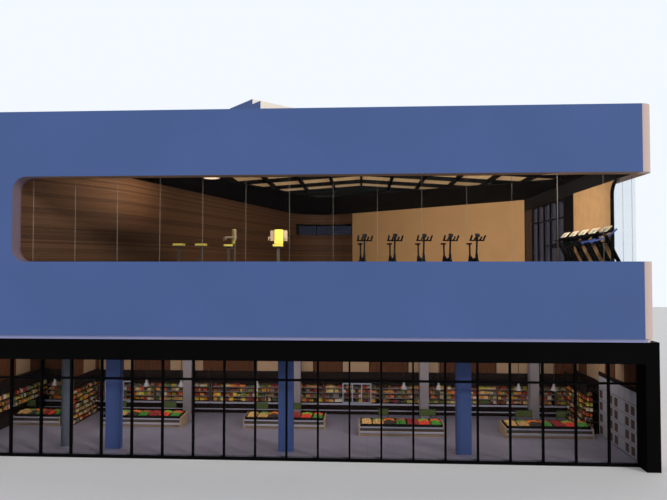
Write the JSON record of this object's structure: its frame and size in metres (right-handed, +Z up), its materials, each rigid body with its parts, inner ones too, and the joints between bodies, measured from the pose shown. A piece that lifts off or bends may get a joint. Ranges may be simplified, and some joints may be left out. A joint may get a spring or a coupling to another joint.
{
  "type": "supermarket building with an upper-floor gym",
  "caption": "Two-storey supermarket building: smooth rounded upper shell with a long wrap-around window, roof light and black glazed shopfront.",
  "frame": {"origin": "on the ground at the middle of the plan", "axes": "+X along the shopfront to the right, +Y from the shopfront to the back, +Z up"},
  "size_m": [23.72, 22, 12.36],
  "materials": {
    "shell_render": "smooth painted render",
    "ledge_white": "satin paint",
    "black_metal": "satin black",
    "clear_glass": "clear",
    "dark_glass": "tinted",
    "timber_slats": "oiled ribs",
    "tan_plaster": "smooth plaster",
    "sand_panel": "textured board",
    "black_ceiling": "matt black",
    "gym_rubber": "matt",
    "gallery_brown": "dark stained",
    "machine_metal": "satin",
    "goods_mixed": "packets and jars",
    "produce_mixed": "fruit and vegetables",
    "board_green": "matt board",
    "oak_boards": "upright boards",
    "roof_membrane": "matt sheet",
    "light_sheet": "ribbed",
    "zinc_curb": "folded sheet",
    "bike_black": "moulded",
    "treadmill_grey": "moulded",
    "machine_yellow": "padded vinyl",
    "column_paint": "painted",
    "column_grey": "painted",
    "floor_tile": "honed tile",
    "display_boards": "boards",
    "cabinet_grey": "satin",
    "shelf_white": "satin",
    "stand_wood": "boards",
    "lamp_white": "gloss"
  },
  "bodies": {
    "root": {"shop_floor": "floor_tile", "ground_wall_left": "shell_render", "ground_wall_right": "shell_render", "ground_wall_rear": "shell_render", "portal_fascia": "black_metal", "portal_piers": "black_metal", "shopfront_frame": "black_metal", "shopfront_glass": "clear_glass", "ledge_slab": "ledge_white", "front_shell": "shell_render", "right_shell": "shell_render", "left_shell": "shell_render", "rear_shell": "shell_render", "gym_floor": "gym_rubber", "terrace_glass_front": "clear_glass", "terrace_glass_side": "clear_glass", "side_panel_front": "sand_panel", "side_panel_edge": "black_metal", "side_panel_rear": "sand_panel", "gallery_frame": "black_metal", "gallery_glass": "dark_glass", "timber_wall": "timber_slats", "plaster_wall": "tan_plaster", "gym_ceiling": "black_ceiling", "roof_slab": "roof_membrane", "roof_light_curb": "zinc_curb", "roof_light_bars": "black_metal", "roof_light_sheets": "light_sheet", "roof_box": "shell_render", "strip_window_frame": "black_metal", "strip_window_glass": "dark_glass", "spin_bikes": "bike_black", "gallery_leaf": "gallery_brown", "machine_pads": "machine_yellow", "treadmills": "treadmill_grey", "gym_machines": "machine_metal", "white_columns": "column_paint", "round_column": "column_grey", "back_columns": "column_grey", "display_wall": "display_boards", "chilled_cabinets": "cabinet_grey", "cabinet_shelves": "shelf_white", "side_shelving": "cabinet_grey", "produce_stands": "stand_wood", "pendant_lamps": "lamp_white"}
  },
  "joints": []
}
